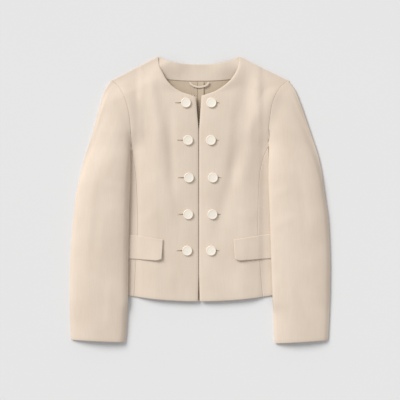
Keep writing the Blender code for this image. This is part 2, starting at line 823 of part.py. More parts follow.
def make_button(name, x, y):
    """Button lying along the slope of the front under it."""
    reach = BUTTON_RADIUS * 0.86
    slope_x = (front_top(x + reach, y) - front_top(x - reach, y)) / (2.0 * reach)
    slope_y = (front_top(x, y + reach) - front_top(x, y - reach)) / (2.0 * reach)
    obj = bpy.data.objects.new(name, button_mesh())
    spread = [(x + dx * reach, y + dy * reach) for dx in (-1, 0, 1) for dy in (-1, 0, 1)]
    bulge = max(
        front_top(px, py) - slope_x * (px - x) - slope_y * (py - y) for px, py in spread
    )
    obj.location = Vector((x, y, bulge + BUTTON_CLEAR)) * MM
    obj.rotation_euler = Euler((math.atan(slope_y), -math.atan(slope_x), 0.0))
    turn = obj.modifiers.new("turn", "SCREW")
    turn.steps = BUTTON_STEPS
    turn.render_steps = BUTTON_STEPS
    turn.use_merge_vertices = True
    turn.merge_threshold = 0.00001
    dress(obj, BUTTON_COLOUR, 0.3)
    return obj


def main():
    clear_scene()
    if COLLECTION_NAME not in bpy.data.collections:
        bpy.context.scene.collection.children.link(bpy.data.collections.new(COLLECTION_NAME))
    for side_name in SIDES:
        make_back(side_name)
        make_allowance(side_name)
        make_side(side_name)
        make_front(side_name)
        make_sleeve(side_name)
        make_flap(side_name)
        for number, row in enumerate(BUTTONS, start=1):
            make_button(f"button_{side_name}_{number}", getattr(row, side_name), row.up)
    make_facing()
    make_hanger_loop()


main()
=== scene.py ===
"""Looks of a collarless jacket that lies flat, front up, on a pale floor under soft studio light.

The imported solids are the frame. Each cloth piece is a thin shell with the lay of its solid, and
has rolled edges, finer creases and a woven finish. Sizes are in millimetres until a mesh gets
its points. Right and left are the wearer's, so the right half is at -X.
"""
import logging
import math
from dataclasses import dataclass, field
from enum import Enum
from typing import Callable

import bmesh
import bpy
from mathutils import Euler, Matrix, Vector
from mathutils.kdtree import KDTree


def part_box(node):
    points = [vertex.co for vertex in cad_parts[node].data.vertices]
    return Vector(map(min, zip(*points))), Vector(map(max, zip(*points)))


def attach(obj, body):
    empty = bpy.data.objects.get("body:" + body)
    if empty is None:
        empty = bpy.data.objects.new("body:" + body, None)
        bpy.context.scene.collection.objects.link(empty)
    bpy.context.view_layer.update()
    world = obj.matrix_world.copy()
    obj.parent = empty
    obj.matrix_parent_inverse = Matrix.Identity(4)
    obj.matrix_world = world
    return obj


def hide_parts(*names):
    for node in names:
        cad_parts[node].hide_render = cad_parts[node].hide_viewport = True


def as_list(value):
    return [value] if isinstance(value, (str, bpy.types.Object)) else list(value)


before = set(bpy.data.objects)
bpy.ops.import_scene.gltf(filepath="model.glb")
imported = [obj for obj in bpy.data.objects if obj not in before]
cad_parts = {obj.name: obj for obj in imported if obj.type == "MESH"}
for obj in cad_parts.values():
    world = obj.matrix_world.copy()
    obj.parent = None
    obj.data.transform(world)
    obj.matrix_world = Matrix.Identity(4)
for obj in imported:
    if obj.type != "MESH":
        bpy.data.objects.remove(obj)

LOG = logging.getLogger("jacket")
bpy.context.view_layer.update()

MM = 0.001
WALL = 1.8
LAY_GAP = 0.3
SEAM_GAP = 0.1
LAYER = WALL + LAY_GAP
FACING_WALL = 1.0

Place = tuple[float, float]
Places = list[Place]
Point = tuple[float, float, float]
Height = Callable[[float, float], float]


class Side(Enum):
    """Half of the garment, named from the wearer."""

    RIGHT = "right"
    LEFT = "left"

    @property
    def sign(self) -> int:
        """Direction of this half along X."""
        return -1 if self is Side.RIGHT else 1


def smoothstep(value: float) -> float:
    """Ease from 0 to 1."""
    value = min(1.0, max(0.0, value))
    return value * value * (3.0 - 2.0 * value)


def mix(start: float, end: float, part: float) -> float:
    """Blend two numbers."""
    return start + (end - start) * part


def mix_places(start: Place, end: Place, part: float) -> Place:
    """Blend two places of the plan."""
    return (mix(start[0], end[0], part), mix(start[1], end[1], part))


@dataclass(frozen=True)
class Level:
    """A row of a table: values at one height along the garment."""

    up: float
    right: float
    left: float


@dataclass(frozen=True)
class Halves:
    """A value that differs between the two halves of the garment."""

    right: tuple | float
    left: tuple | float

    def of(self, side: Side) -> tuple | float:
        """The value of one half."""
        return getattr(self, side.value)


def read_curve(ups: list[float], values: list[float], up: float) -> float:
    """Read a smooth curve through values, which never passes them.

    Args:
        ups: places of the values, rising.
        values: the values there.
        up: the place to read.

    Returns:
        The value at that place.
    """
    if up <= ups[0]:
        return values[0]
    if up >= ups[-1]:
        return values[-1]
    steps = [(values[i + 1] - values[i]) / (ups[i + 1] - ups[i]) for i in range(len(ups) - 1)]
    slopes = [steps[0]]
    for before, after in zip(steps, steps[1:]):
        same_way = before * after > 0.0
        slopes.append(2.0 * before * after / (before + after) if same_way else 0.0)
    slopes.append(steps[-1])
    index = max(i for i, level in enumerate(ups) if level <= up)
    span = ups[index + 1] - ups[index]
    part = (up - ups[index]) / span
    rest = 1.0 - part
    held = (1.0 + 2.0 * part) * rest**2 * values[index]
    held += part**2 * (3.0 - 2.0 * part) * values[index + 1]
    return held + part * rest * span * (rest * slopes[index] - part * slopes[index + 1])


def read_level(rows: tuple[Level, ...], side: Side, up: float) -> float:
    """Read a table of levels at one height along the garment."""
    return read_curve([row.up for row in rows], [getattr(row, side.value) for row in rows], up)


def read_across(places: tuple[Place, ...], up: float) -> float:
    """Read how far across a line of places stands, the lowest place first."""
    return read_curve([place[1] for place in places], [place[0] for place in places], up)


def smooth_line(points: Places, steps: int = 12) -> Places:
    """Return a dense smooth line through places of the plan.

    Args:
        points: places to pass through.
        steps: steps between two of them.

    Returns:
        Places close together.
    """
    line = [points[0]]
    last = len(points) - 1
    for index in range(last):
        before, start = points[max(0, index - 1)], points[index]
        end, after = points[index + 1], points[min(last, index + 2)]
        for step in range(1, steps + 1):
            t = step / steps
            weights = (
                2 * t**3 - 3 * t**2 + 1, t**3 - 2 * t**2 + t, 3 * t**2 - 2 * t**3, t**3 - t**2
            )
            line.append(tuple(
                weights[0] * start[axis] + weights[1] * (end[axis] - before[axis]) / 2.0
                + weights[2] * end[axis] + weights[3] * (after[axis] - start[axis]) / 2.0
                for axis in (0, 1)
            ))
    return line


def spaced(points: Places, count: int) -> Places:
    """Divide a smooth line through places into count equal steps.

    Args:
        points: places to pass through.
        count: number of steps.

    Returns:
        The places.
    """
    line = smooth_line(points)
    lengths = [0.0]
    for start, end in zip(line, line[1:]):
        lengths.append(lengths[-1] + math.dist(start, end))
    places = []
    index = 0
    for step in range(count + 1):
        wanted = lengths[-1] * step / count
        while index < len(line) - 2 and lengths[index + 1] < wanted:
            index += 1
        span = lengths[index + 1] - lengths[index]
        places.append(mix_places(line[index], line[index + 1], (wanted - lengths[index]) / span))
    return places


def fill(bottom: Places, top: Places, left: Places, right: Places) -> list[Places]:
    """Fill four lines of places with rows of places that meet each line.

    Args:
        bottom: the lowest line.
        top: the highest line.
        left: the line at the rows' starts.
        right: the line at the rows' ends.

    Returns:
        Rows of places.
    """
    columns, rows = len(bottom) - 1, len(left) - 1
    filled = []
    for j in range(rows + 1):
        v = j / rows
        row = []
        for i in range(columns + 1):
            u = i / columns
            row.append(tuple(
                mix(left[j][axis], right[j][axis], u) + mix(bottom[i][axis], top[i][axis], v)
                - mix(mix(bottom[0][axis], bottom[-1][axis], u), mix(top[0][axis], top[-1][axis], u), v)
                for axis in (0, 1)
            ))
        filled.append(row)
    return filled


def mirrored(places: Places, side: Side) -> Places:
    """Turn places given outwards from the middle into places of one half."""
    return [(across * side.sign, up) for across, up in places]


@dataclass(frozen=True)
class Crease:
    """A soft ridge, or a trough where its height is negative, along a straight run."""

    x_start: float
    y_start: float
    x_end: float
    y_end: float
    height: float
    width: float
    fade: float = 0.3

    def at(self, x: float, y: float) -> float:
        """Height that the crease adds at a place.

        Args:
            x: place along X, in mm.
            y: place along Y, in mm.

        Returns:
            The height in mm.
        """
        run, rise = self.x_end - self.x_start, self.y_end - self.y_start
        length = math.hypot(run, rise)
        part = ((x - self.x_start) * run + (y - self.y_start) * rise) / length**2
        off = ((x - self.x_start) * rise - (y - self.y_start) * run) / length
        if part <= 0.0 or part >= 1.0 or abs(off) > 3.0 * self.width:
            return 0.0
        ends = smoothstep(part / self.fade) * smoothstep((1.0 - part) / self.fade)
        return self.height * ends * math.exp(-((off / self.width) ** 2))


@dataclass(frozen=True)
class Plan:
    """Outlines of the pieces as they lie, seen from above."""

    fine: int = 5
    centre_front: float = -2.5
    centre_back: float = -4.9
    neck_point: Place = (90.2, 317.2)
    shoulder_tip: Place = (195.4, 265.0)
    notch: Halves = Halves((152.8, 109.0), (150.6, 118.0))
    underarm: Place = (220.0, 75.0)
    back_neck_depth: float = 300.5
    front_neck_depth: float = 231.0
    hem_centre: float = -224.2
    hem_rise: float = 12.0
    hem_rise_at: float = 157.0
    back_hem_shorter: float = 2.0
    facing_reach: float = 128.0
    sleeve_turn: float = 40.0
    cuff_inner: Halves = Halves(-314.8, -317.8)
    cuff_outer: Halves = Halves(-309.6, -310.6)
    front_neckline: Halves = Halves(
        ((14.8, 231.9), (38.8, 239.8), (54.0, 248.4), (65.0, 258.2), (73.8, 270.0), (80.4, 283.0),
         (87.4, 298.0)),
        ((12.0, 232.9), (30.9, 239.2), (44.0, 245.6), (57.0, 254.2), (67.9, 264.2), (75.8, 273.6),
         (83.0, 286.4), (88.4, 301.0)),
    )
    back_neckline: tuple[Place, ...] = ((26.0, 301.3), (48.0, 303.6), (73.0, 309.4))
    facing_depth: tuple[Place, ...] = (
        (0.0, 263.9), (30.0, 264.3), (55.0, 265.9), (72.0, 268.2), (100.0, 279.0), (122.0, 295.0),
    )
    front_armhole: Halves = Halves(
        ((152.6, 126.0), (153.6, 159.0), (157.4, 192.5), (165.6, 223.6), (179.4, 249.8)),
        ((150.9, 133.0), (152.4, 163.8), (157.6, 203.0), (164.4, 226.0), (178.4, 250.6)),
    )
    lower_armhole: Halves = Halves(
        ((160.0, 97.0), (176.0, 84.0), (198.0, 77.0)), ((158.0, 104.0), (174.0, 88.5), (197.0, 78.5)),
    )
    back_armhole: tuple[Place, ...] = ((205.0, 92.0), (190.0, 122.0), (184.0, 165.0), (187.0, 215.0))
    front_edge: tuple[Level, ...] = (
        Level(-225.0, 1.7, 1.7), Level(-195.0, 0.9, 0.9), Level(-159.0, 0.2, 0.2),
        Level(147.0, 0.2, 0.2), Level(190.0, 3.2, 2.6), Level(231.0, 6.4, 5.3),
    )
    princess: Halves = Halves(
        ((146.5, -216.0), (142.0, -135.0), (138.0, -54.0), (139.5, 5.0), (143.5, 64.0), (147.5, 88.0),
         (152.8, 109.0)),
        ((139.0, -216.0), (133.0, -135.0), (128.0, -54.0), (129.2, 2.0), (132.8, 58.0), (139.4, 90.0),
         (150.6, 118.0)),
    )
    sleeve_outer: Halves = Halves(
        ((204.5, 253.5), (212.0, 240.0), (223.0, 205.0), (232.4, 170.0), (242.4, 134.0),
         (252.8, 103.0), (261.8, 70.0)),
        ((204.5, 253.5), (213.0, 240.0), (226.5, 205.0), (238.5, 170.0), (250.6, 134.0),
         (260.8, 103.0), (268.6, 70.0)),
    )
    sleeve_inner_edge: tuple[Level, ...] = (
        Level(-318.0, 166.0, 166.2), Level(-287.0, 162.8, 163.4), Level(-243.0, 160.4, 162.0),
        Level(-199.0, 159.2, 159.8), Level(-168.0, 158.8, 158.6), Level(-110.0, 158.2, 156.4),
        Level(-48.0, 157.0, 154.6), Level(5.5, 155.6, 152.8), Level(40.0, 154.2, 151.4),
    )
    sleeve_outer_edge: tuple[Level, ...] = (
        Level(-318.0, 285.4, 283.0), Level(-287.0, 287.2, 284.8), Level(-243.0, 288.8, 286.8),
        Level(-199.0, 289.0, 288.4), Level(-160.0, 288.6, 288.8), Level(-110.0, 286.6, 288.0),
        Level(-48.0, 281.2, 285.2), Level(5.5, 275.2, 278.2), Level(40.0, 269.2, 273.4),
    )

    @property
    def low_rows(self) -> int:
        """Rows from the hem to the armhole's notch."""
        return 9 * self.fine

    @property
    def chest_rows(self) -> int:
        """Rows from the notch to the front's neck corner."""
        return 8 * self.fine

    @property
    def neck_rows(self) -> int:
        """Rows beside the neckline."""
        return 6 * self.fine

    @property
    def armhole_rows(self) -> int:
        """Steps along the front armhole, and across a sleeve."""
        return self.chest_rows + self.neck_rows

    def hem_up(self, x: float) -> float:
        """Where the hem lies at a distance across."""
        return self.hem_centre + self.hem_rise * (x / self.hem_rise_at) ** 2

    def below_shoulder(self, x: float, y: float) -> float:
        """Distance from the shoulder seam, positive on the body.

        Args:
            x: place along X, in mm.
            y: place along Y, in mm.

        Returns:
            The distance in mm.
        """
        run = self.neck_point[0] - self.shoulder_tip[0]
        drop = self.neck_point[1] - self.shoulder_tip[1]
        off = (self.neck_point[0] - abs(x)) * drop - (self.neck_point[1] - y) * run
        return off / math.hypot(run, drop)

    def princess_line(self, side: Side) -> Places:
        """Seam between front and side panel, hem first.

        Args:
            side: the half.

        Returns:
            The seam's places.
        """
        seam, top = self.princess.of(side), self.notch.of(side)[1]
        bottom = self.hem_up(seam[0][0])
        ups = [mix(bottom, top, step / self.low_rows) for step in range(self.low_rows + 1)]
        return [(read_across(seam, up), up) for up in ups]

    def front_armhole_line(self, side: Side) -> Places:
        """Seam between front and sleeve, notch first."""
        points = [self.notch.of(side), *self.front_armhole.of(side), self.shoulder_tip]
        return spaced(points, self.armhole_rows)

    def lower_armhole_line(self, side: Side, count: int) -> Places:
        """Seam between side panel and sleeve, notch first."""
        return spaced([self.notch.of(side), *self.lower_armhole.of(side), self.underarm], count)

    def back_armhole_line(self, count: int) -> Places:
        """Seam between back and sleeve, underarm first."""
        return spaced([self.underarm, *self.back_armhole, self.shoulder_tip], count)

    def side_line(self) -> Places:
        """The body's side fold, hem first.

        Returns:
            The fold's places.
        """
        start = (self.underarm[0], self.hem_up(self.underarm[0]))
        rows = self.low_rows
        return [mix_places(start, self.underarm, step / rows) for step in range(rows + 1)]

    def front(self, side: Side) -> list[Places]:
        """Rows of places of one front.

        Args:
            side: the half.

        Returns:
            Rows of places.
        """
        low, chest = self.low_rows, self.chest_rows
        notch_up = self.notch.of(side)[1]
        ups = [mix(self.hem_up(0.0), notch_up, step / low) for step in range(low)]
        ups += [mix(notch_up, self.front_neck_depth, step / chest) for step in range(chest)]
        inner = [
            (self.centre_front + side.sign * read_level(self.front_edge, side, up), up) for up in ups
        ]
        corner = (read_level(self.front_edge, side, self.front_neck_depth), self.front_neck_depth)
        neckline = spaced([corner, *self.front_neckline.of(side), self.neck_point], self.neck_rows)
        inner += [(self.centre_front + side.sign * across, up) for across, up in neckline]
        outer = mirrored(self.princess_line(side) + self.front_armhole_line(side)[1:], side)
        outer = [(x - side.sign * SEAM_GAP / 2.0, y) for x, y in outer]
        columns = 12 * self.fine
        hem = []
        for i in range(columns + 1):
            part = i / columns
            x = mix(inner[0][0], outer[0][0], part)
            hem.append((x, self.hem_up(x - self.centre_front * (1.0 - part))))
        hem[0], hem[-1] = inner[0], outer[0]
        shoulder = [mix_places(inner[-1], outer[-1], i / columns) for i in range(columns + 1)]
        return fill(hem, shoulder, inner, outer)

    def side_panel(self, side: Side) -> list[Places]:
        """Rows of places of one side panel.

        Args:
            side: the half.

        Returns:
            Rows of places.
        """
        seam = mirrored(self.princess_line(side), side)
        inner = [(x + side.sign * SEAM_GAP / 2.0, y) for x, y in seam]
        outer = mirrored(self.side_line(), side)
        columns = 5 * self.fine
        xs = [mix(inner[0][0], outer[0][0], i / columns) for i in range(columns + 1)]
        hem = [(x, self.hem_up(x)) for x in xs]
        armhole = mirrored(self.lower_armhole_line(side, columns), side)
        armhole[0] = inner[-1]
        return fill(hem, armhole, inner, outer)

    def back(self, side: Side) -> list[Places]:
        """Rows of places of one half of the back.

        Args:
            side: the half.

        Returns:
            Rows of places.
        """
        low, high = self.low_rows, 6 * self.fine
        rows = low + high
        centre_x = self.centre_back + side.sign * SEAM_GAP / 2.0
        start = self.hem_up(0.0) + self.back_hem_shorter
        inner = [
            (centre_x, mix(start, self.back_neck_depth, step / rows)) for step in range(rows + 1)
        ]
        outer = mirrored(self.side_line() + self.back_armhole_line(high)[1:], side)
        outer[0] = (outer[0][0], outer[0][1] + self.back_hem_shorter)
        columns = 5 * self.fine
        neck = spaced([(0.0, self.back_neck_depth), *self.back_neckline, self.neck_point], columns)
        top = [(centre_x + side.sign * across, up) for across, up in neck]
        top += [mix_places(top[-1], outer[-1], i / columns) for i in range(1, columns + 1)]
        xs = [mix(inner[0][0], outer[0][0], i / (2 * columns)) for i in range(2 * columns + 1)]
        hem = [(x, self.hem_up(x) + self.back_hem_shorter) for x in xs]
        hem[0], hem[-1] = inner[0], outer[0]
        return fill(hem, top, inner, outer)

    def facing(self) -> list[Places]:
        """Rows of places of the back neck facing, shoulder to shoulder.

        Returns:
            Rows of places.
        """
        part = (self.facing_reach - self.neck_point[0]) / (self.shoulder_tip[0] - self.neck_point[0])
        neck = [(0.0, self.back_neck_depth), *self.back_neckline, self.neck_point]
        neck.append(mix_places(self.neck_point, self.shoulder_tip, part))
        count, rows = 18 * self.fine, 2 * self.fine
        lines = []
        for half in (list(self.facing_depth), neck):
            whole = [(-across, up) for across, up in reversed(half)] + half[1:]
            lines.append([(x + self.centre_front, y) for x, y in spaced(whole, count)])
        lower, upper = lines
        return [
            [mix_places(low, high, j / rows) for low, high in zip(lower, upper)]
            for j in range(rows + 1)
        ]


PLAN = Plan()


@dataclass(frozen=True)
class Lay:
    """Heights of the cloth above the floor, in mm."""

    crown: tuple[Level, ...] = (
        Level(-225.0, 6.0, 6.0), Level(-130.0, 6.5, 6.5), Level(-40.0, 7.5, 7.5),
        Level(60.0, 9.5, 9.5), Level(150.0, 11.5, 11.5), Level(210.0, 10.0, 10.0),
        Level(262.0, 6.5, 6.5), Level(320.0, 3.0, 3.0),
    )
    sleeve_crown: tuple[Level, ...] = (
        Level(-320.0, 15.5, 14.5), Level(-260.0, 18.5, 16.5), Level(-200.0, 21.5, 18.5),
        Level(-120.0, 24.0, 20.5), Level(-50.0, 26.0, 22.5), Level(60.0, 27.5, 25.0),
    )
    # Height share of a sleeve's arch and where across it, from the inner fold to the outer one
    sleeve_arch: Halves = Halves(
        ((0.0, 0.0), (0.44, 0.04), (0.74, 0.1), (0.91, 0.2), (0.985, 0.33), (1.0, 0.46),
         (0.91, 0.64), (0.67, 0.8), (0.38, 0.92), (0.0, 1.0)),
        ((0.0, 0.0), (0.32, 0.04), (0.55, 0.1), (0.78, 0.2), (0.92, 0.32), (0.97, 0.48),
         (0.91, 0.64), (0.74, 0.8), (0.47, 0.92), (0.0, 1.0)),
    )
    folds: tuple[Crease, ...] = (
        Crease(-114.0, 300.0, -82.0, 100.0, 3.2, 14.0),
        Crease(-94.0, 180.0, -60.0, -80.0, 2.0, 18.0),
        Crease(-141.0, 290.0, -138.0, 215.0, -1.5, 8.0),
        Crease(107.0, 305.0, 90.0, 50.0, -3.4, 15.0),
        Crease(97.0, 150.0, 28.0, -110.0, -2.4, 17.0),
        Crease(125.0, 290.0, 129.0, 150.0, 1.6, 10.0),
    )
    creases: tuple[Crease, ...] = (
        Crease(-68.0, 226.0, -59.0, -20.0, -2.1, 11.0),
        Crease(-146.0, 120.0, -108.0, 176.0, 0.3, 9.0),
        Crease(-134.0, -52.0, -88.0, -18.0, 0.7, 9.0),
        Crease(-66.0, -140.0, -58.0, -214.0, 0.7, 12.0, 0.45),
        Crease(88.0, 252.0, 68.0, 10.0, -2.3, 12.0),
        Crease(128.0, 60.0, 92.0, 104.0, -0.4, 10.0),
        Crease(124.0, -46.0, 78.0, -24.0, 0.6, 8.0),
        Crease(84.0, -146.0, 92.0, -214.0, 0.8, 13.0, 0.45),
    )
    sleeve_creases: tuple[Crease, ...] = (
        Crease(-158.0, 18.0, -214.0, 40.0, 1.0, 8.0),
        Crease(-160.0, -30.0, -206.0, -16.0, 0.8, 7.0),
        Crease(-214.0, 60.0, -236.0, -150.0, -1.0, 13.0),
        Crease(-196.0, -170.0, -205.0, -290.0, 0.8, 11.0),
        Crease(156.0, 10.0, 206.0, 28.0, 0.9, 7.0),
        Crease(158.0, -58.0, 214.0, -38.0, 1.0, 9.0),
        Crease(210.0, 90.0, 240.0, -90.0, -1.1, 13.0),
        Crease(200.0, -150.0, 212.0, -285.0, 0.9, 12.0),
    )
    armhole_raise: Halves = Halves(9.5, 6.5)
    raise_reach: float = 34.0
    raise_start: float = 108.0
    raise_run: float = 50.0
    side_landing: float = 150.0
    side_slope: float = 58.0
    armhole_lift: float = 24.0
    armhole_lift_run: float = 115.0
    armhole_slant: float = 0.12
    shoulder_slope: float = 46.0
    facing_edge: float = 142.0
    facing_fade: float = 14.0
    edge_dip: float = 1.6
    edge_dip_width: float = 15.0
    neck_stand: float = 5.5
    neck_stand_start: Place = (16.0, 262.0)
    neck_stand_run: Place = (40.0, 38.0)
    neck_stand_clear: float = 3.0
    neck_stand_fade: float = 20.0
    rest_on_panel: float = 4.6
    rest_on_flap: float = 6.5
    flap_zone_top: float = 60.0
    flap_zone_fade: float = 70.0
    rest_hem_clear: float = 10.0
    rest_edge: float = 7.0
    rest_fall: float = 22.0
    fold_height: float = 4.0
    fold_inset: float = 0.024

    def front_underside(self, x: float, y: float) -> float:
        """Underside of the front layer.

        Args:
            x: place along X, in mm.
            y: place along Y, in mm.

        Returns:
            The height in mm.
        """
        across = abs(x)
        side = Side.LEFT if x > 0.0 else Side.RIGHT
        above = max(0.0, y - PLAN.notch.right[1])
        lifted = smoothstep(above / self.armhole_lift_run)
        landing = self.side_landing + lifted * (self.armhole_lift + above * self.armhole_slant)
        off_shoulder = smoothstep(PLAN.below_shoulder(x, y) / self.shoulder_slope)
        falls = smoothstep((landing - across) / self.side_slope) * off_shoulder
        over_facing = smoothstep((self.facing_edge - across) / self.facing_fade)
        base = LAYER + (FACING_WALL + 2.0 * LAY_GAP) * over_facing
        dip = self.edge_dip * math.exp(-(((x - PLAN.centre_front) / self.edge_dip_width) ** 2))
        soft = sum(fold.at(x, y) for fold in self.folds)
        past_seam = across - read_across(PLAN.front_armhole.of(side), y)
        near = smoothstep(past_seam / self.raise_reach + 1.0) * off_shoulder
        near *= smoothstep((y - self.raise_start) / self.raise_run)
        crown = read_level(self.crown, side, y) - dip + soft
        return base + crown * falls + self.armhole_raise.of(side) * near

    def front_top(self, x: float, y: float) -> float:
        """Upper face of the front layer, with its finer creases."""
        fine = sum(crease.at(x, y) for crease in self.creases)
        return self.front_underside(x, y) + WALL + fine

    def neck_rise(self, x: float, y: float) -> float:
        """How far the back neck edge stands up beside the middle.

        Args:
            x: place along X, in mm.
            y: place along Y, in mm.

        Returns:
            The height in mm.
        """
        (start_x, start_y), (run_x, run_y) = self.neck_stand_start, self.neck_stand_run
        beside = smoothstep((abs(x) - start_x) / run_x) * smoothstep((y - start_y) / run_y)
        off_seam = PLAN.below_shoulder(x, y) - self.neck_stand_clear
        return self.neck_stand * beside * smoothstep(off_seam / self.neck_stand_fade)

    def sleeve_rest(self, side: Side, x: float, y: float) -> float:
        """Height of what a sleeve's underside lies on.

        Args:
            side: the half.
            x: place along X, in mm.
            y: place along Y, in mm.

        Returns:
            The height in mm.
        """
        across = abs(x)
        notch = PLAN.notch.of(side)
        on_flap = smoothstep((self.flap_zone_top - y) / self.flap_zone_fade)
        level = mix(self.rest_on_panel, self.rest_on_flap, on_flap)
        part = (across - notch[0]) / (PLAN.underarm[0] - notch[0])
        past_armhole = y - mix(notch[1], PLAN.underarm[1], part)
        past_hem = PLAN.hem_up(across) - self.rest_hem_clear - y
        past = max(across - PLAN.underarm[0], past_armhole, past_hem)
        return level * (1.0 - smoothstep((past - self.rest_edge) / self.rest_fall))


LAY = Lay()


def linear_colour(code: str) -> tuple[float, float, float, float]:
    """Turn an sRGB hex colour into the linear colour that a shader takes.

    Args:
        code: hex code.

    Returns:
        Red, green, blue and alpha.
    """
    parts = [int(code[i:i + 2], 16) / 255.0 for i in (1, 3, 5)]
    linear = [p / 12.92 if p <= 0.04045 else ((p + 0.055) / 1.055) ** 2.4 for p in parts]
    return (*linear, 1.0)


def add_node(tree: bpy.types.NodeTree, kind: str, settings: dict, inputs: dict) -> bpy.types.Node:
    """Add a shader node.

    Args:
        tree: the tree that gets the node.
        kind: the node's type name.
        settings: the node's own properties and their values.
        inputs: socket names or numbers, each with a value or with the output that feeds it.

    Returns:
        The new node.
    """
    node = tree.nodes.new(kind)
    for name, value in settings.items():
        setattr(node, name, value)
    for name, value in inputs.items():
        if isinstance(value, bpy.types.NodeSocket):
            tree.links.new(value, node.inputs[name])
        else:
            node.inputs[name].default_value = value
    return node


def new_material(name: str) -> tuple[bpy.types.Material, bpy.types.NodeTree, bpy.types.Node]:
    """Start a material and return it with its tree and its shader.

    Args:
        name: the finish's name.

    Returns:
        The material, its tree and its shader.
    """
    material = bpy.data.materials.new(name)
    material.use_nodes = True
    return material, material.node_tree, material.node_tree.nodes["Principled BSDF"]


def tint(tree: bpy.types.NodeTree, shader: bpy.types.Node, factor: bpy.types.NodeSocket,
         dark: str, light: str) -> None:
    """Colour a shader with a blend of two tones.

    Args:
        tree: the material's tree.
        shader: the shader that gets the colour.
        factor: output that says how much of the light tone shows.
        dark: hex colour at 0.
        light: hex colour at 1.
    """
    ends = {"A": linear_colour(dark), "B": linear_colour(light)}
    colour = add_node(tree, "ShaderNodeMix", {"data_type": "RGBA"}, {"Factor": factor, **ends})
    tree.links.new(colour.outputs["Result"], shader.inputs["Base Color"])


@dataclass(frozen=True)
class Suiting:
    """Wool-mix crepe suiting, piece-dyed and pressed: dull, dry, with a fine pebbled weave.

    The eye sees a soft halo at grazing light, faint thread streaks and slow changes of tone.
    """

    name: str
    light: str
    dark: str
    thread_mm: float = 0.9
    weave_depth: float = 0.06
    roughness: float = 0.88
    sheen: float = 0.12

    def build(self) -> bpy.types.Material:
        """Make the material.

        Returns:
            The material.
        """
        material, tree, shader = new_material(self.name)
        place = add_node(tree, "ShaderNodeTexCoord", {}, {}).outputs["Object"]
        tone = add_node(
            tree, "ShaderNodeTexNoise", {}, {"Vector": place, "Scale": 14.0, "Detail": 2.0}
        )
        along = add_node(tree, "ShaderNodeMapping", {}, {"Vector": place, "Scale": (1.0, 0.07, 1.0)})
        streak = add_node(
            tree, "ShaderNodeTexNoise", {},
            {"Vector": along.outputs[0], "Scale": 1.0 / (3.0 * self.thread_mm * MM), "Detail": 2.0},
        )
        both = add_node(
            tree, "ShaderNodeMath", {"operation": "MULTIPLY_ADD"},
            {0: streak.outputs[0], 1: 0.45, 2: tone.outputs[0]},
        )
        share = add_node(
            tree, "ShaderNodeMapRange", {},
            {"Value": both.outputs[0], "From Min": 0.45, "From Max": 1.0},
        )
        tint(tree, shader, share.outputs[0], self.dark, self.light)
        # Threads are about half as wide in the real cloth, and are drawn coarser so that they show.
        threads = []
        for direction in ("X", "Y"):
            wave = add_node(
                tree, "ShaderNodeTexWave", {"bands_direction": direction},
                {"Vector": place, "Scale": math.pi / (10.0 * self.thread_mm * MM), "Distortion": 1.5,
                 "Detail": 1.0, "Detail Scale": 2.0},
            )
            threads.append(wave.outputs["Fac"])
        weave = add_node(tree, "ShaderNodeMath", {"operation": "ADD"}, {0: threads[0], 1: threads[1]})
        bump = add_node(
            tree, "ShaderNodeBump", {},
            {"Height": weave.outputs[0], "Strength": 0.35, "Distance": self.weave_depth * MM},
        )
        tree.links.new(bump.outputs[0], shader.inputs["Normal"])
        shader.inputs["Roughness"].default_value = self.roughness
        shader.inputs["Sheen Weight"].default_value = self.sheen
        shader.inputs["Sheen Roughness"].default_value = 0.45
        shader.inputs["Specular IOR Level"].default_value = 0.25
        return material


@dataclass(frozen=True)
class PearlResin:
    """Cast polyester button resin with pearl essence, turned and polished.

    The eye sees a creamy depth with slow cloudy bands and a clear, soft highlight.
    """

    name: str = "pearl_polyester_polished"
    light: str = "#FBF3E6"
    dark: str = "#F3E9D9"

    def build(self) -> bpy.types.Material:
        """Make the material.

        Returns:
            The material.
        """
        material, tree, shader = new_material(self.name)
        place = add_node(tree, "ShaderNodeTexCoord", {}, {}).outputs["Object"]
        cloud = add_node(
            tree, "ShaderNodeTexNoise", {},
            {"Vector": place, "Scale": 160.0, "Detail": 3.0, "Distortion": 1.2},
        )
        tint(tree, shader, cloud.outputs[0], self.dark, self.light)
        shader.inputs["Roughness"].default_value = 0.28
        shader.inputs["IOR"].default_value = 1.55
        shader.inputs["Coat Weight"].default_value = 0.35
        shader.inputs["Coat Roughness"].default_value = 0.12
        shader.inputs["Subsurface Weight"].default_value = 0.05
        shader.inputs["Subsurface Scale"].default_value = 1.5 * MM
        return material


@dataclass(frozen=True)
class PlainFinish:
    """A finish with slow tone changes, for thread, shaded slits and the floor."""

    name: str
    light: str
    dark: str
    roughness: float
    scale: float

    def build(self) -> bpy.types.Material:
        """Make the material.

        Returns:
            The material.
        """
        material, tree, shader = new_material(self.name)
        place = add_node(tree, "ShaderNodeTexCoord", {}, {}).outputs["Object"]
        tone = add_node(tree, "ShaderNodeTexNoise", {}, {"Vector": place, "Scale": self.scale})
        tint(tree, shader, tone.outputs[0], self.dark, self.light)
        shader.inputs["Roughness"].default_value = self.roughness
        return material


def link_mesh(name: str, bm: bmesh.types.BMesh, finish: bpy.types.Material,
              smooth: bool = True) -> bpy.types.Object:
    """Turn a bmesh into an object of the scene.

    Args:
        name: name of the object and of its mesh.
        bm: the mesh, which is freed.
        finish: its material.
        smooth: whether its faces are shaded smooth.

    Returns:
        The object.
    """
    mesh = bpy.data.meshes.new(name)
    for face in bm.faces:
        face.smooth = smooth
    bm.to_mesh(mesh)
    bm.free()
    piece = bpy.data.objects.new(name, mesh)
    bpy.context.scene.collection.objects.link(piece)
    mesh.materials.append(finish)
    return piece


@dataclass(frozen=True)
class Cut:
    """Size of a piece as cut, in metres and square metres."""

    width: float
    length: float
    area: float


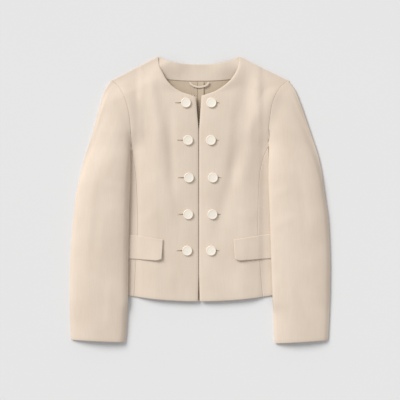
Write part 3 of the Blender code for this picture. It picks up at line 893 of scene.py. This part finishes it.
@dataclass
class ClothPiece:
    """A thin shell of cloth that stands for one solid."""

    node: str
    slot: str
    finish: bpy.types.Material
    cut: Cut
    rests_on: list[str]
    shell: float = 0.9
    roll: float = 0.8
    seam_roll: float = 0.35
    roll_insets: Place = (0.35, 0.9)
    second_drop: float = 0.36
    is_tape: bool = False
    is_seam: Callable[[float, float], bool] = field(default=lambda x, y: False)

    def laid(self, rows: list[Places], height: Height) -> bpy.types.Object:
        """Make a laid panel from its places and the height of its upper face.

        Args:
            rows: rows of places.
            height: upper face at a place.

        Returns:
            The piece.
        """
        columns = len(rows[0]) - 1

        def place(i: int, j: int) -> Point:
            """Place of a grid point on the lay."""
            x, y = rows[j][i]
            return (x, y, height(x, y))

        bm = self.grid(columns, len(rows) - 1, place)
        bmesh.ops.recalc_face_normals(bm, faces=bm.faces[:])
        if sum(face.normal.z for face in bm.faces) < 0.0:
            bmesh.ops.reverse_faces(bm, faces=bm.faces[:])
        return self.finished(bm)

    def grid(self, columns: int, rows: int, place: Callable) -> bmesh.types.BMesh:
        """Make a grid and move each point to place(column, row), in mm.

        Args:
            columns: cells across.
            rows: cells upwards.
            place: where a point of the grid goes.

        Returns:
            The mesh.
        """
        bm = bmesh.new()
        bmesh.ops.create_grid(bm, x_segments=columns, y_segments=rows, size=1.0)
        for vert in bm.verts:
            i = round((vert.co.x + 1.0) / 2.0 * columns)
            j = round((vert.co.y + 1.0) / 2.0 * rows)
            vert.co = Vector(place(i, j)) * MM
        return bm

    def roll_edges(self, bm: bmesh.types.BMesh) -> None:
        """Turn the open edges down a little, as a pressed edge or a seam turns.

        Args:
            bm: the mesh.
        """
        inner = bm.faces[:]
        for inset in self.roll_insets:
            made = bmesh.ops.inset_region(
                bm, faces=inner, use_boundary=True, use_even_offset=False, thickness=inset * MM
            )
            strip = set(made["faces"])
            inner = [face for face in inner if face not in strip]
        bm.normal_update()
        edge = {vert for e in bm.edges if e.is_boundary for vert in e.verts}
        near = {e.other_vert(vert) for vert in edge for e in vert.link_edges} - edge
        drops = []
        for group, share in ((edge, 1.0), (near, self.second_drop)):
            for vert in group:
                seam = self.is_seam(vert.co.x / MM, vert.co.y / MM)
                depth = self.seam_roll if seam else self.roll
                drops.append((vert, vert.normal * (-depth * share * MM)))
        for vert, move in drops:
            vert.co += move

    def finished(self, bm: bmesh.types.BMesh) -> bpy.types.Object:
        """Give a sheet its rolled edges, thickness and finish, and attach it to the root body.

        Args:
            bm: the mesh.

        Returns:
            The piece.
        """
        self.roll_edges(bm)
        piece = link_mesh(f"{self.node}_cloth", bm, self.finish)
        shell = piece.modifiers.new("shell", "SOLIDIFY")
        shell.thickness = self.shell * MM
        shell.offset = -1.0
        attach(piece, "root")
        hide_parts(self.node)
        if not self.is_tape:
            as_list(self.rests_on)
        LOG.info("%s: %d points", piece.name, len(piece.data.vertices))
        return piece


@dataclass
class Body:
    """Back, facing, fronts and side panels."""

    outer: bpy.types.Material
    # inner: the inside finish, the same cloth darkened with painted shade of the garment's inside
    inner: bpy.types.Material
    edge_turn: float = 1.3
    edge_width: float = 2.6
    neck_lift: float = 3.6
    neck_lift_width: float = 20.0
    neck_lift_start: float = 236.0
    neck_lift_run: float = 26.0
    lift_off_shoulder: float = 28.0
    loop_width: float = 4.4
    loop_steps: int = 28
    seam_width: float = 3.0
    armhole_from: float = 145.0
    hem_top: float = -200.0
    allowance_width: float = 13.0
    allowance_curl: float = 1.1

    def build(self) -> None:
        """Make every panel of the body."""
        for side in Side:
            self.back(side)
            self.side_panel(side)
            self.front(side)
        self.facing()
        for side in Side:
            self.allowance(side)
        self.loop()

    def loop(self) -> bpy.types.Object:
        """Hanger loop: a narrow turned band, pressed flat, caught under the facing.

        Returns:
            The piece.
        """
        low, high = (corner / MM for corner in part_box("hanger_loop"))
        centre, half = (low.x + high.x) / 2.0, (high.x - low.x) / 2.0 - self.loop_width / 2.0
        drop = high.y - low.y - self.loop_width / 2.0
        rows = []
        for across in (-1.0, 1.0):
            row = []
            for step in range(self.loop_steps + 1):
                turn = math.pi * step / self.loop_steps
                reach = across * self.loop_width / 2.0
                x = centre - math.cos(turn) * (half + reach)
                row.append((x, high.y - math.sin(turn) * (drop + reach)))
            rows.append(row)
        piece = ClothPiece(
            "hanger_loop", "loop", self.outer, Cut(self.loop_width * MM, 0.054, 0.000236),
            ["back_right_cloth", "back_left_cloth"], shell=0.9, roll=0.3, seam_roll=0.3, is_tape=True,
        )
        return piece.laid(rows, lambda x, y: high.z)

    def back(self, side: Side) -> bpy.types.Object:
        """Half of the back, flat on the floor, its inner face up.

        Args:
            side: the half.

        Returns:
            The piece.
        """
        piece = ClothPiece(
            f"back_{side.value}", "cloth_inside", self.inner, Cut(0.225, 0.542, 0.1085), ["floor"],
            shell=WALL, roll=0.0, seam_roll=0.0,
        )
        return piece.laid(PLAN.back(side), lambda x, y: WALL + LAY.neck_rise(x, y))

    def side_panel(self, side: Side) -> bpy.types.Object:
        """Side panel, from the princess seam to the side fold.

        Args:
            side: the half.

        Returns:
            The piece.
        """
        piece = ClothPiece(
            f"side_{side.value}", "cloth", self.outer, Cut(0.09, 0.326, 0.0245),
            [f"back_{side.value}_cloth"], is_seam=lambda x, y: y > self.hem_top,
        )
        return piece.laid(PLAN.side_panel(side), LAY.front_top)

    def front(self, side: Side) -> bpy.types.Object:
        """Front, from the centre front to the princess seam and the armhole.

        Args:
            side: the half.

        Returns:
            The piece.
        """
        notch_up = PLAN.notch.of(side)[1]

        def is_seam(x: float, y: float) -> bool:
            """Tell a sewn edge from a free one.

            Args:
                x: place along X, in mm.
                y: place along Y, in mm.

            Returns:
                True at a sewn edge.
            """
            level = read_across(PLAN.princess.of(side), y)
            above_hem = y > PLAN.hem_up(x) + self.seam_width
            at_princess = y < notch_up and abs(x) > level - self.seam_width and above_hem
            at_armhole = y > notch_up and abs(x) > self.armhole_from
            return at_princess or at_armhole or PLAN.below_shoulder(x, y) < self.seam_width

        places = PLAN.front(side)
        edge = KDTree(len(places))
        for index, row in enumerate(places):
            edge.insert((*row[0], 0.0), index)
        edge.balance()

        def height(x: float, y: float) -> float:
            """Upper face, with its turned and lifted edge.

            Args:
                x: place along X, in mm.
                y: place along Y, in mm.

            Returns:
                The height in mm.
            """
            off = edge.find((x, y, 0.0))[2]
            turned = self.edge_turn * math.exp(-((off / self.edge_width) ** 2))
            lifted = self.neck_lift * math.exp(-((off / self.neck_lift_width) ** 2))
            lifted *= smoothstep((y - self.neck_lift_start) / self.neck_lift_run)
            free = smoothstep(PLAN.below_shoulder(x, y) / self.lift_off_shoulder)
            return LAY.front_top(x, y) + (lifted - turned) * free

        piece = ClothPiece(
            f"front_{side.value}", "cloth", self.outer, Cut(0.2, 0.545, 0.0722),
            [f"back_{side.value}_cloth", "back_neck_facing_cloth"], is_seam=is_seam,
        )
        return piece.laid(places, height)

    def facing(self) -> bpy.types.Object:
        """Back neck facing, a curved band.

        Returns:
            The piece.
        """
        piece = ClothPiece(
            "back_neck_facing", "cloth", self.outer, Cut(0.258, 0.056, 0.0076),
            ["back_right_cloth", "back_left_cloth"], shell=0.7, roll=0.3, seam_roll=0.3,
        )
        return piece.laid(PLAN.facing(), lambda x, y: LAYER + FACING_WALL + LAY.neck_rise(x, y))

    def allowance(self, side: Side) -> bpy.types.Object:
        """Half of the centre-back seam allowance, pressed open.

        Args:
            side: the half.

        Returns:
            The piece.
        """
        node = f"back_seam_allowance_{side.value}"
        low, high = (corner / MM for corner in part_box(node))
        piece = ClothPiece(
            node, "cloth_inside", self.inner, Cut(0.013, 0.483, 0.00628),
            [f"back_{side.value}_cloth"], shell=0.7, roll=0.3, seam_roll=0.3,
        )
        rows = [
            [(mix(low.x, high.x, i / 4), mix(low.y, high.y, j / 60)) for i in range(5)]
            for j in range(61)
        ]
        centre, width, curl = PLAN.centre_back, self.allowance_width, self.allowance_curl
        return piece.laid(rows, lambda x, y: high.z + curl * (abs(x - centre) / width) ** 2)


@dataclass
class Sleeve:
    """A sleeve: a flattened tube from the armhole to the cuff."""

    side: Side
    finish: bpy.types.Material
    cap_rows: int = 7
    long_rows: int = 9
    back_gap: float = 2.2
    seam_share: float = 14.0
    rise_power: float = 0.9

    def rings(self) -> list[list[Point]]:
        """Rings of outer points on the left half, armhole first.

        Returns:
            Points of each ring.
        """
        plan = PLAN
        count, fine = plan.armhole_rows, plan.fine
        up = plan.sleeve_turn
        turn = (read_level(plan.sleeve_outer_edge, self.side, up), up)
        inner_turn = (read_level(plan.sleeve_inner_edge, self.side, up), up)
        spread = [(1.0 - math.cos(math.pi * i / count)) / 2.0 for i in range(count + 1)]
        notch = (plan.notch.of(self.side)[0] + SEAM_GAP / 2.0, plan.notch.of(self.side)[1])
        cap = self.cap_rows * fine
        inner = [mix_places(notch, inner_turn, step / cap) for step in range(cap + 1)]
        tip = (plan.shoulder_tip[0] + SEAM_GAP, plan.shoulder_tip[1])
        outer = spaced([tip, *plan.sleeve_outer.of(self.side), turn], cap)
        front_seam = [(x + SEAM_GAP / 2.0, y) for x, y in plan.front_armhole_line(self.side)]
        front_seam[-1] = tip
        back_count = 6 * fine
        under_seam = plan.lower_armhole_line(self.side, count - back_count)
        under_seam += [(x + self.back_gap, y) for x, y in plan.back_armhole_line(back_count)[1:]]
        under_seam[0] = notch
        under_outer = [under_seam[-1], *outer[1:]]
        full_ring = [mix_places(inner[-1], outer[-1], part) for part in spread]
        upper = fill(front_seam, full_ring, inner, outer)
        under = fill(under_seam, full_ring, inner, under_outer)
        rings = [self.ring(j / cap, upper[j], under[j]) for j in range(cap + 1)]
        long = self.long_rows * fine
        for step in range(1, long + 1):
            inner_up = mix(plan.sleeve_turn, plan.cuff_inner.of(self.side), step / long)
            outer_up = mix(plan.sleeve_turn, plan.cuff_outer.of(self.side), step / long)
            start = (read_level(plan.sleeve_inner_edge, self.side, inner_up), inner_up)
            end = (read_level(plan.sleeve_outer_edge, self.side, outer_up), outer_up)
            row = [mix_places(start, end, part) for part in spread]
            rings.append(self.ring(1.0, row, row))
        return rings

    def ring(self, grown: float, upper: Places, under: Places) -> list[Point]:
        """Heights of one ring: an arch over the upper row, and the under row as it rests.

        Args:
            grown: how far the arch has risen from the armhole seam, 0 to 1.
            upper: places of the upper layer, inner fold first.
            under: places of the under layer, inner fold first.

        Returns:
            Points with heights, once round.
        """
        count = len(upper) - 1
        crown = read_level(LAY.sleeve_crown, self.side, upper[count // 2][1])
        growth = math.sin(math.pi / 2.0 * grown) ** self.rise_power
        points = []
        for i, (x, y) in enumerate(upper):
            base = mix(LAY.sleeve_rest(self.side, *upper[0]), 0.0, i / count) + LAY.fold_height
            spread = (1.0 - math.cos(math.pi * i / count)) / 2.0
            arch = base + (crown - base) * read_across(LAY.sleeve_arch.of(self.side), spread)
            from_end = min(i, count - i) / (count / self.seam_share)
            seam = mix(base, LAY.front_top(x * self.side.sign, y) + SEAM_GAP, smoothstep(from_end))
            over = sum(crease.at(x * self.side.sign, y) for crease in LAY.sleeve_creases)
            points.append((x, y, mix(seam, arch, growth) + over * growth))
        inset = LAY.fold_inset * smoothstep(grown * 2.0)
        start, end = under[0], under[-1]
        for i, (x, y) in reversed(list(enumerate(under))):
            shift = inset * math.cos(math.pi * i / count)
            x += (end[0] - start[0]) * shift
            y += (end[1] - start[1]) * shift
            points.append((x, y, LAY.sleeve_rest(self.side, x, y)))
        return points

    def build(self) -> bpy.types.Object:
        """Make the tube.

        Returns:
            The piece.
        """
        rings = self.rings()
        around = len(rings[0])
        name = self.side.value
        piece = ClothPiece(
            f"sleeve_{name}", "cloth", self.finish, Cut(0.37, 0.61, 0.126),
            [f"side_{name}_cloth", "floor"], shell=1.2, is_seam=lambda x, y: y > 0.0,
        )

        def place(i: int, j: int) -> Point:
            """Place of a grid point on the tube."""
            x, y, z = rings[j][i % around]
            return (x * self.side.sign, y, z)

        bm = piece.grid(around, len(rings) - 1, place)
        bmesh.ops.remove_doubles(bm, verts=bm.verts[:], dist=0.00001)
        if self.side is Side.LEFT:
            bmesh.ops.reverse_faces(bm, faces=bm.faces[:])
        return piece.finished(bm)


@dataclass
class Flap:
    """Slanted pocket flap."""

    side: Side
    finish: bpy.types.Material
    length: float = 124.0
    top: float = -87.0
    top_slope: float = 0.15
    bottom: float = -134.6
    bottom_slope: float = 0.062
    corner: float = 4.5
    corner_run: float = 16.0
    end_slant: float = 3.0
    end_lift: float = 2.6
    end_lift_run: float = 42.0
    end_lift_least: float = 0.4
    sleeve_edge: float = 146.0
    sleeve_fade: float = 30.0
    wall: float = 1.6
    clear: float = 0.6
    lift: float = 1.6

    @property
    def start(self) -> float:
        """Distance of the inner end from the middle."""
        return 81.5 if self.side is Side.RIGHT else 74.0

    def height(self, x: float, y: float) -> float:
        """Upper face of the flap.

        Args:
            x: place along X, in mm.
            y: place along Y, in mm.

        Returns:
            The height in mm.
        """
        free = smoothstep((self.top - y) / (self.top - self.bottom))
        clear_of_sleeve = smoothstep((self.sleeve_edge - abs(x)) / self.sleeve_fade)
        near_end = smoothstep((self.start + self.end_lift_run - abs(x)) / self.end_lift_run)
        inner_end = self.end_lift * mix(self.end_lift_least, 1.0, free) * near_end
        raised = self.lift * free * clear_of_sleeve + inner_end
        return LAY.front_top(x, y) + self.clear + raised + self.wall

    def build(self) -> bpy.types.Object:
        """Make the flap.

        Returns:
            The piece.
        """
        columns, rows = 12 * PLAN.fine, 4 * PLAN.fine
        places = []
        for j in range(rows, -1, -1):
            down = j / rows
            row = []
            for i in range(columns + 1):
                along = self.length * i / columns
                top = self.top + self.top_slope * along
                corner = self.corner * max(0.0, 1.0 - along / self.corner_run) ** 2
                bottom = self.bottom + self.bottom_slope * along + corner
                x = self.start + along + self.end_slant * down * (1.0 - along / self.length)
                row.append((x * self.side.sign, mix(bottom, top, 1.0 - down)))
            places.append(row)
        name = self.side.value
        piece = ClothPiece(
            f"flap_{name}", "cloth", self.finish, Cut(0.126, 0.066, 0.0066),
            [f"front_{name}_cloth", f"side_{name}_cloth"], shell=1.2, roll=0.9,
        )
        return piece.laid(places, self.height)


@dataclass
class ButtonRow:
    """Five buttons and buttonholes of one front."""

    side: Side
    resin: bpy.types.Material
    thread: bpy.types.Material
    shade: bpy.types.Material
    radius: float = 11.0
    thickness: float = 3.2
    hole_reach: Halves = Halves(23.0, 17.5)
    stitch_step: float = 0.75
    seat_share: float = 0.86
    hole_start: float = 3.0
    hole_half_width: float = 1.3
    stitch_length: float = 1.5
    end_stitch_length: float = 1.3
    end_bulge: float = 1.0
    slit_start: float = 8.0
    slit_radii: Place = (0.85, 0.2)
    slit_flatness: float = 0.35
    slit_rise: float = 0.12
    thread_radius: float = 0.5
    thread_shape: Place = (0.62, 0.5)
    thread_rise: float = 0.1

    def build(self) -> None:
        """Make the row."""
        for number in range(1, 6):
            self.button(number)
            self.buttonhole(number)

    def button(self, number: int) -> bpy.types.Object:
        """A turned button with a shallow dish, a rounded rim and a chamfered back.

        Args:
            number: which button, from the neck down.

        Returns:
            The piece.
        """
        node = f"button_{self.side.value}_{number}"
        low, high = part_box(node)
        centre = (low + high) / 2.0
        x, y = centre.x / MM, centre.y / MM
        reach = self.radius * self.seat_share
        slope_x = (LAY.front_top(x + reach, y) - LAY.front_top(x - reach, y)) / (2.0 * reach)
        slope_y = (LAY.front_top(x, y + reach) - LAY.front_top(x, y - reach)) / (2.0 * reach)
        r, t = self.radius, self.thickness
        profile = [
            (0.0, 0.80), (0.45, 0.83), (0.70, 0.86), (0.80, 0.90), (0.86, 0.99), (0.91, 1.0),
            (0.96, 0.93), (0.99, 0.78), (1.0, 0.6), (0.985, 0.42), (0.93, 0.16), (0.84, 0.0),
            (0.0, 0.0),
        ]
        bm = bmesh.new()
        verts = [bm.verts.new(Vector((r * a, 0.0, t * b)) * MM) for a, b in profile]
        edges = [bm.edges.new(pair) for pair in zip(verts, verts[1:])]
        bmesh.ops.spin(
            bm, geom=verts + edges, cent=(0, 0, 0), axis=(0, 0, 1), angle=2 * math.pi,
            steps=48, use_merge=True,
        )
        bmesh.ops.remove_doubles(bm, verts=bm.verts[:], dist=0.000005)
        bmesh.ops.recalc_face_normals(bm, faces=bm.faces[:])
        turn = Euler((math.atan(slope_y), -math.atan(slope_x), 0.0)).to_matrix().to_4x4()
        foot = low.z + self.radius * MM * (abs(slope_x) + abs(slope_y)) * 0.5
        bm.transform(Matrix.Translation((centre.x, centre.y, foot)) @ turn)
        return self.added(f"{node}_resin", bm, self.resin, node)

    def buttonhole(self, number: int) -> bpy.types.Object:
        """A worked buttonhole that runs outwards from under its button.

        Args:
            number: which button, from the neck down.

        Returns:
            The piece.
        """
        low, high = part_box(f"button_{self.side.value}_{number}")
        centre = (low + high) / (2.0 * MM)
        bm = bmesh.new()
        out = self.side.sign
        inner, outer = self.hole_start, self.hole_reach.of(self.side)
        count = round((outer - inner) / self.stitch_step)
        for step in range(count + 1):
            across = mix(inner, outer, step / count)
            for edge in (-1, 1):
                y = centre.y + edge * self.hole_half_width
                self.stitch(bm, centre.x + out * across, y, self.stitch_length, 0.0)
        for step in range(1, 6):
            turn = math.pi * step / 6.0
            x = centre.x + out * (outer + self.end_bulge * math.sin(turn))
            y = centre.y + math.cos(turn) * self.hole_half_width
            self.stitch(bm, x, y, self.end_stitch_length, -out * turn)
        self.slit(number, centre.x, centre.y, outer)
        return self.added(f"buttonhole_{self.side.value}_{number}", bm, self.thread, None)

    def slit(self, number: int, x: float, y: float, outer: float) -> bpy.types.Object:
        """The buttonhole's slit: a dark sliver of painted shade, which gapes beside the button and
        closes at its far end.

        Args:
            number: which button, from the neck down.
            x: place along X, in mm.
            y: place along Y, in mm.
            outer: far end from the button, in mm.

        Returns:
            The piece.
        """
        bm = bmesh.new()
        wide, narrow = self.slit_radii
        bmesh.ops.create_cone(
            bm, segments=12, radius1=wide * MM, radius2=narrow * MM,
            depth=(outer - self.slit_start) * MM, cap_ends=True,
        )
        turned = Matrix.Rotation(math.radians(90.0 * self.side.sign), 4, "Y")
        bm.transform(Matrix.Diagonal((1.0, 1.0, self.slit_flatness, 1.0)) @ turned)
        middle = x + self.side.sign * (self.slit_start + outer) / 2.0
        centre = Vector((middle, y, LAY.front_top(middle, y) + self.slit_rise)) * MM
        bmesh.ops.translate(bm, verts=bm.verts[:], vec=centre)
        return self.added(f"buttonhole_slit_{self.side.value}_{number}", bm, self.shade, None)

    def stitch(self, bm: bmesh.types.BMesh, x: float, y: float, length: float, turn: float) -> None:
        """One thread of a worked edge, lying across it.

        Args:
            bm: the mesh.
            x: place along X, in mm.
            y: place along Y, in mm.
            length: thread length in mm.
            turn: turn about Z.
        """
        made = bmesh.ops.create_icosphere(bm, subdivisions=1, radius=self.thread_radius * MM)
        verts = made["verts"]
        wide, high = self.thread_shape
        bmesh.ops.scale(bm, verts=verts, vec=(wide, length, high))
        bmesh.ops.rotate(bm, verts=verts, cent=(0, 0, 0), matrix=Matrix.Rotation(turn, 3, "Z"))
        height = LAY.front_top(x, y) + self.thread_rise
        bmesh.ops.translate(bm, verts=verts, vec=Vector((x, y, height)) * MM)

    def added(self, name: str, bm: bmesh.types.BMesh, finish: bpy.types.Material,
              node: str | None) -> bpy.types.Object:
        """Turn a bmesh into a piece of the garment.

        Args:
            name: the new object's name.
            bm: the mesh.
            finish: its material.
            node: the solid that it stands for.

        Returns:
            The piece.
        """
        piece = link_mesh(name, bm, finish)
        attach(piece, "root")
        if node:
            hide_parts(node)
        LOG.info("%s: %d points", name, len(piece.data.vertices))
        return piece


@dataclass(frozen=True)
class Studio:
    """Pale floor, soft light from the upper left and a camera straight above."""

    frame_width: float = 0.888
    lens: float = 100.0
    sensor: float = 36.0
    floor_size: float = 4.0
    floor_drop: float = 0.0003
    sun_energy: float = 2.58
    sun_degrees: float = 30.0
    sun_heading: Point = (0.58, -0.6, -0.6)
    fill_strength: float = 0.52

    def build(self) -> None:
        """Make floor, light, world and camera."""
        bm = bmesh.new()
        bmesh.ops.create_grid(bm, x_segments=1, y_segments=1, size=self.floor_size)
        bmesh.ops.translate(bm, verts=bm.verts[:], vec=(0.0, 0.0, -self.floor_drop))
        paper = PlainFinish("matt_paper_sweep", "#E9E9E9", "#E7E7E7", 0.9, 3.0).build()
        floor = link_mesh("floor", bm, paper, smooth=False)
        self.add_light()
        self.add_camera()

    def add_light(self) -> None:
        """One broad soft light and an even fill."""
        sun = bpy.data.lights.new("softbox", "SUN")
        sun.energy = self.sun_energy
        sun.angle = math.radians(self.sun_degrees)
        sun.color = (1.0, 0.995, 0.985)
        light = bpy.data.objects.new("softbox", sun)
        bpy.context.scene.collection.objects.link(light)
        heading = Vector(self.sun_heading)
        light.rotation_euler = heading.to_track_quat("-Z", "Y").to_euler()
        world = bpy.data.worlds.new("studio")
        bpy.context.scene.world = world
        world.use_nodes = True
        background = world.node_tree.nodes["Background"]
        background.inputs["Color"].default_value = linear_colour("#FBFBFC")
        background.inputs["Strength"].default_value = self.fill_strength
        bpy.context.scene.view_settings.view_transform = "Standard"

    def add_camera(self) -> None:
        """Camera at the photo's angle: straight down, neck up."""
        data = bpy.data.cameras.new("camera")
        data.lens = self.lens
        data.sensor_width = self.sensor
        camera = bpy.data.objects.new("camera", data)
        camera.location = (0.0, 0.0, self.frame_width * self.lens / self.sensor)
        bpy.context.scene.collection.objects.link(camera)
        bpy.context.scene.camera = camera


def main() -> None:
    """Build the garment, then its studio."""
    logging.basicConfig(level=logging.INFO, format="%(name)s: %(message)s")
    outer = Suiting("beige_crepe_suiting", "#E5D5C4", "#DCCBB9").build()
    # The inside finish is the same cloth, darker as painted shade of the inside seen through the neck.
    inner = Suiting("beige_crepe_inside_painted_shade", "#CFBDA7", "#C5B29B").build()
    thread = PlainFinish("silk_buttonhole_twist", "#E9DCC9", "#DCCDB8", 0.6, 900.0).build()
    shade = PlainFinish("slit_in_shade", "#6E5F4E", "#5C4F41", 0.95, 300.0).build()
    resin = PearlResin().build()
    Body(outer, inner).build()
    for side in Side:
        Sleeve(side, outer).build()
        Flap(side, outer).build()
        ButtonRow(side, resin, thread, shade).build()
    Studio().build()


if __name__ == "__main__":
    main()
